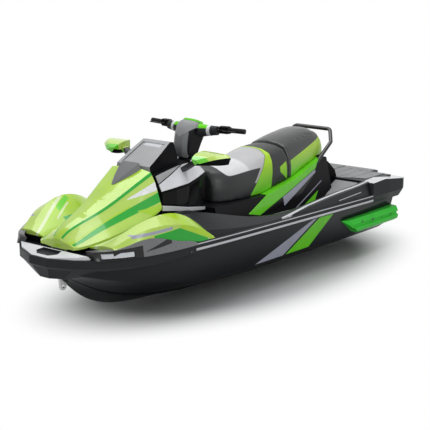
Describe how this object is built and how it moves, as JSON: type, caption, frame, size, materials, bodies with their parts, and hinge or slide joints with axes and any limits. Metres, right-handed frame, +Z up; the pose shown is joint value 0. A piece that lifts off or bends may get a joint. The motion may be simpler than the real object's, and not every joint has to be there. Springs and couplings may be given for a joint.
{
  "type": "personal watercraft",
  "caption": "Sit-astride personal watercraft with faceted hinged hood, stepped seat, handlebar steering and a jet pump with reverse bucket under the stern.",
  "frame": {"origin": "on the waterline, amidships on the centre plane", "axes": "+X to the bow, +Y to port, +Z up"},
  "size_m": [3.558, 1.1942, 1.2257],
  "materials": {
    "bar_black": "satin black",
    "body_green": "metallic gloss",
    "cast_aluminium": "cast",
    "cast_grey": "cast",
    "deck_dark": "satin",
    "gloss_black": "gloss",
    "grip_rubber": "knurled",
    "hull_grey": "satin gel coat",
    "lamp_lens": "clear over silver",
    "liner_black": "grained",
    "mat_foam": "grooved foam",
    "mirror_glass": "polished",
    "rubber_black": "satin with silver lines",
    "screen": "dark glass",
    "seat_vinyl": "grained vinyl",
    "steel": "brushed",
    "trim_black": "satin",
    "trim_grey": "satin",
    "trim_silver": "metallic gloss"
  },
  "bodies": {
    "craft": {"hull": "hull_grey", "deck": "deck_dark", "engine": "cast_grey", "storage_bin": "liner_black", "rub_rails": "rubber_black", "bow_bumper": "trim_grey", "fairings": "body_green", "chin_plate": "trim_silver", "lamp_panels": "trim_silver", "hood_hinge": "steel", "console": "trim_black", "visor": "trim_grey", "display": "screen", "pedestal": "trim_black", "seat_front": "seat_vinyl", "seat_rear": "seat_vinyl", "tail_hump": "trim_black", "grab_handle": "trim_silver", "traction_mats": "mat_foam", "stern_caps": "trim_grey", "sponsons": "body_green", "pump_housing": "cast_aluminium", "ride_plate": "cast_aluminium", "intake_grate": "cast_aluminium", "bow_tow_eye": "steel", "stern_tow_eyes": "steel", "mirrors": "body_green", "mirror_glasses": "mirror_glass", "lamps": "lamp_lens", "console_panels": "trim_silver", "knee_panels": "gloss_black", "side_blades": "trim_silver", "side_panels": "body_green", "pedestal_panels": "gloss_black"},
    "hatch": {"hood": "body_green", "hood_scoop": "trim_grey"},
    "steering": {"steering_pad": "trim_grey", "steering_cover": "body_green", "handlebar": "bar_black", "grips": "grip_rubber", "switch_boxes": "trim_black", "levers": "bar_black"},
    "nozzle": {"steering_nozzle": "cast_aluminium"},
    "bucket": {"reverse_bucket": "cast_aluminium"},
    "impeller": {"impeller": "steel"}
  },
  "joints": [
    {"name": "steering_turn", "type": "hinge", "parent": "craft", "child": "steering", "pos_m": [0.352, 0, 0.64], "axis": [-0.342, 0, 0.9397], "range_deg": [-25, 25]},
    {"name": "nozzle_turn", "type": "hinge", "parent": "craft", "child": "nozzle", "pos_m": [-1.58, 0, -0.135], "axis": [0, 0, -1], "range_deg": [-20, 20]},
    {"name": "bucket_drop", "type": "hinge", "parent": "craft", "child": "bucket", "pos_m": [-1.54, 0, -0.135], "axis": [0, -1, 0], "range_deg": [0, 60]},
    {"name": "impeller_spin", "type": "hinge", "parent": "craft", "child": "impeller", "pos_m": [-1.2, 0, -0.135], "axis": [1, 0, 0], "continuous": true},
    {"name": "hood_open", "type": "hinge", "parent": "craft", "child": "hatch", "pos_m": [1.578, 0, 0.248], "axis": [0, 1, 0], "range_deg": [0, 45]}
  ],
  "couplings": [
    {"joint": "nozzle_turn", "follows": "steering_turn", "ratio": 0.8}
  ]
}
